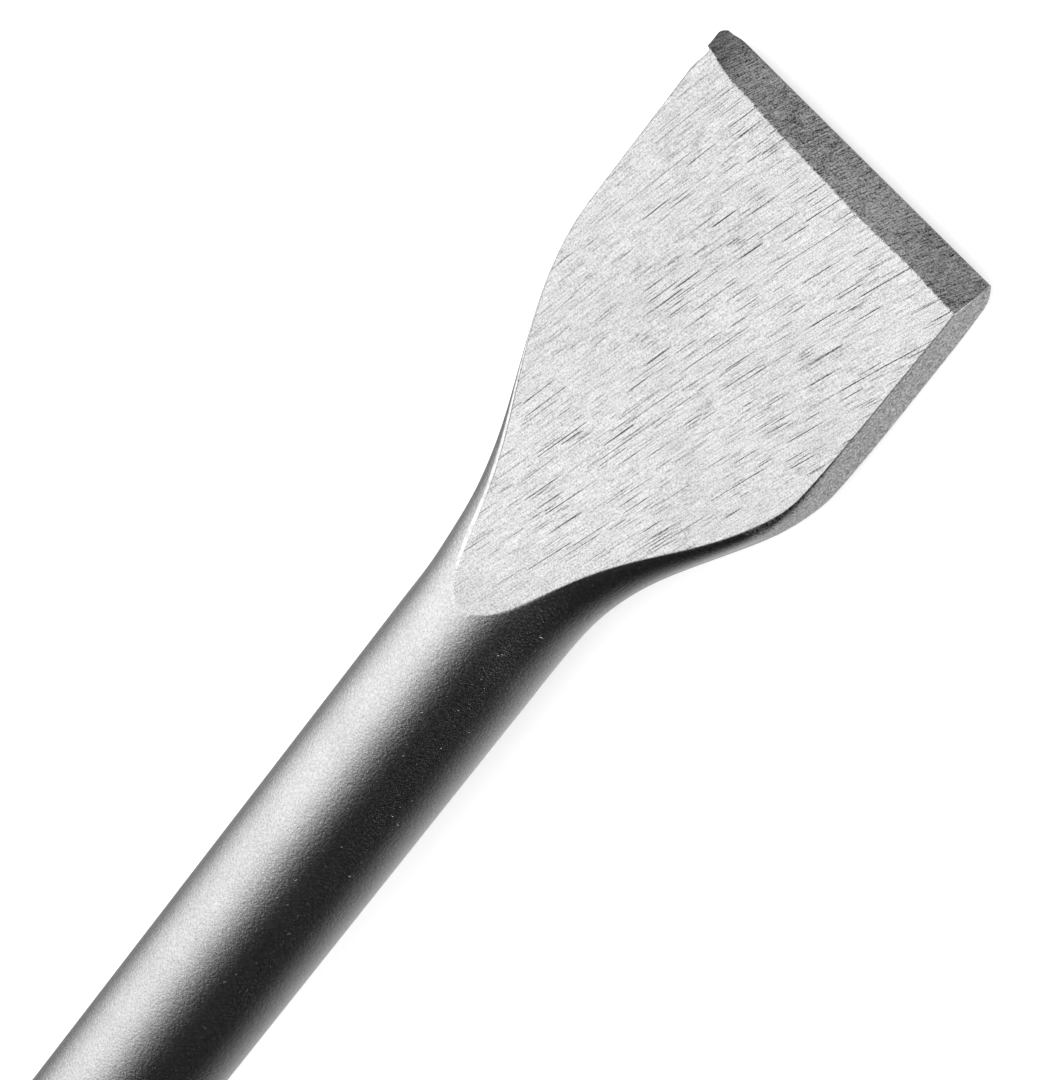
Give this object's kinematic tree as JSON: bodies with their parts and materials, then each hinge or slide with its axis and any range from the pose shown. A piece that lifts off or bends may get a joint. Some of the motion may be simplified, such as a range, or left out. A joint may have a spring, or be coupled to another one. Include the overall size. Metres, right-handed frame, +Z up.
{
  "type": "brick bolster chisel",
  "caption": "Wide flat-bladed steel chisel with a round shank and a slip-on hand guard with a mushroom shield.",
  "frame": {"origin": "on the surface the tool lies on, under the middle of its bounding box", "axes": "+Y along the tool towards the cutting edge, +Z up, with the ground top face of the blade upwards"},
  "size_m": [0.062, 0.3044, 0.0619],
  "materials": {
    "steel": "shot-blasted bar with a ground blade",
    "core": "moulded, satin",
    "grip": "soft moulded, matt",
    "shield": "soft moulded, matt",
    "bush": "moulded elastomer"
  },
  "bodies": {
    "chisel": {"chisel_forging": "steel"},
    "bushes": {"front_bush": "bush", "rear_bush": "bush"},
    "guard": {"guard_core": "core", "grip_sleeve": "grip", "hand_shield": "shield"}
  },
  "joints": [
    {"name": "guard_slide", "type": "slide", "parent": "chisel", "child": "bushes", "axis": [0, 0.9953, -0.0967], "range_m": [-0.012, 0.108]},
    {"name": "guard_turn", "type": "hinge", "parent": "bushes", "child": "guard", "pos_m": [0, -0.09164, 0.02713], "axis": [0, 0.9953, -0.0967], "continuous": true}
  ]
}
